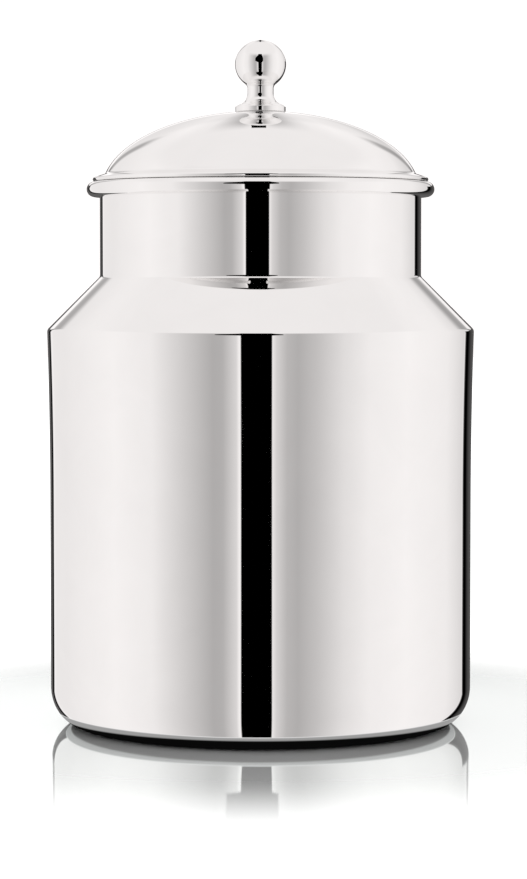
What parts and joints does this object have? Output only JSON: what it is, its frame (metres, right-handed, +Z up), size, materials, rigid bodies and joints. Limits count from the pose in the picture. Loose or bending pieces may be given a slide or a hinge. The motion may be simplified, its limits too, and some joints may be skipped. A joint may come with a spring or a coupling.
{
  "type": "milk can",
  "caption": "Small stainless steel milk can: straight drawn body, conical shoulder, narrow neck with a rolled wired mouth, and a domed lid that drops in and lifts off by a turned knob.",
  "frame": {"origin": "centre of the standing ring under the can, on the plane it stands on", "axes": "+Z up along the can's own axis; X and Y are free, because every piece except the screw slot and the spring washer's split is round about Z"},
  "size_m": [0.1893, 0.1894, 0.3033],
  "materials": {
    "polished_steel": "mirror-polished stainless steel sheet",
    "knob_steel": "turned and mirror-polished stainless steel",
    "skirt_steel": "bright rolled stainless steel sheet",
    "rim_wire_steel": "drawn steel wire",
    "fastener_steel": "plain stainless steel fasteners"
  },
  "bodies": {
    "can": {"body_shell": "polished_steel", "neck_shell": "polished_steel", "rim_wire": "rim_wire_steel"},
    "lid": {"lid_shell": "polished_steel", "lid_skirt": "skirt_steel", "knob": "knob_steel", "knob_screw": "fastener_steel", "knob_washer": "fastener_steel", "knob_lock_washer": "fastener_steel"}
  },
  "joints": [
    {"name": "lid_lift", "type": "slide", "parent": "can", "child": "lid", "axis": [0, 0, 1], "range_m": [0, 0.06]}
  ]
}
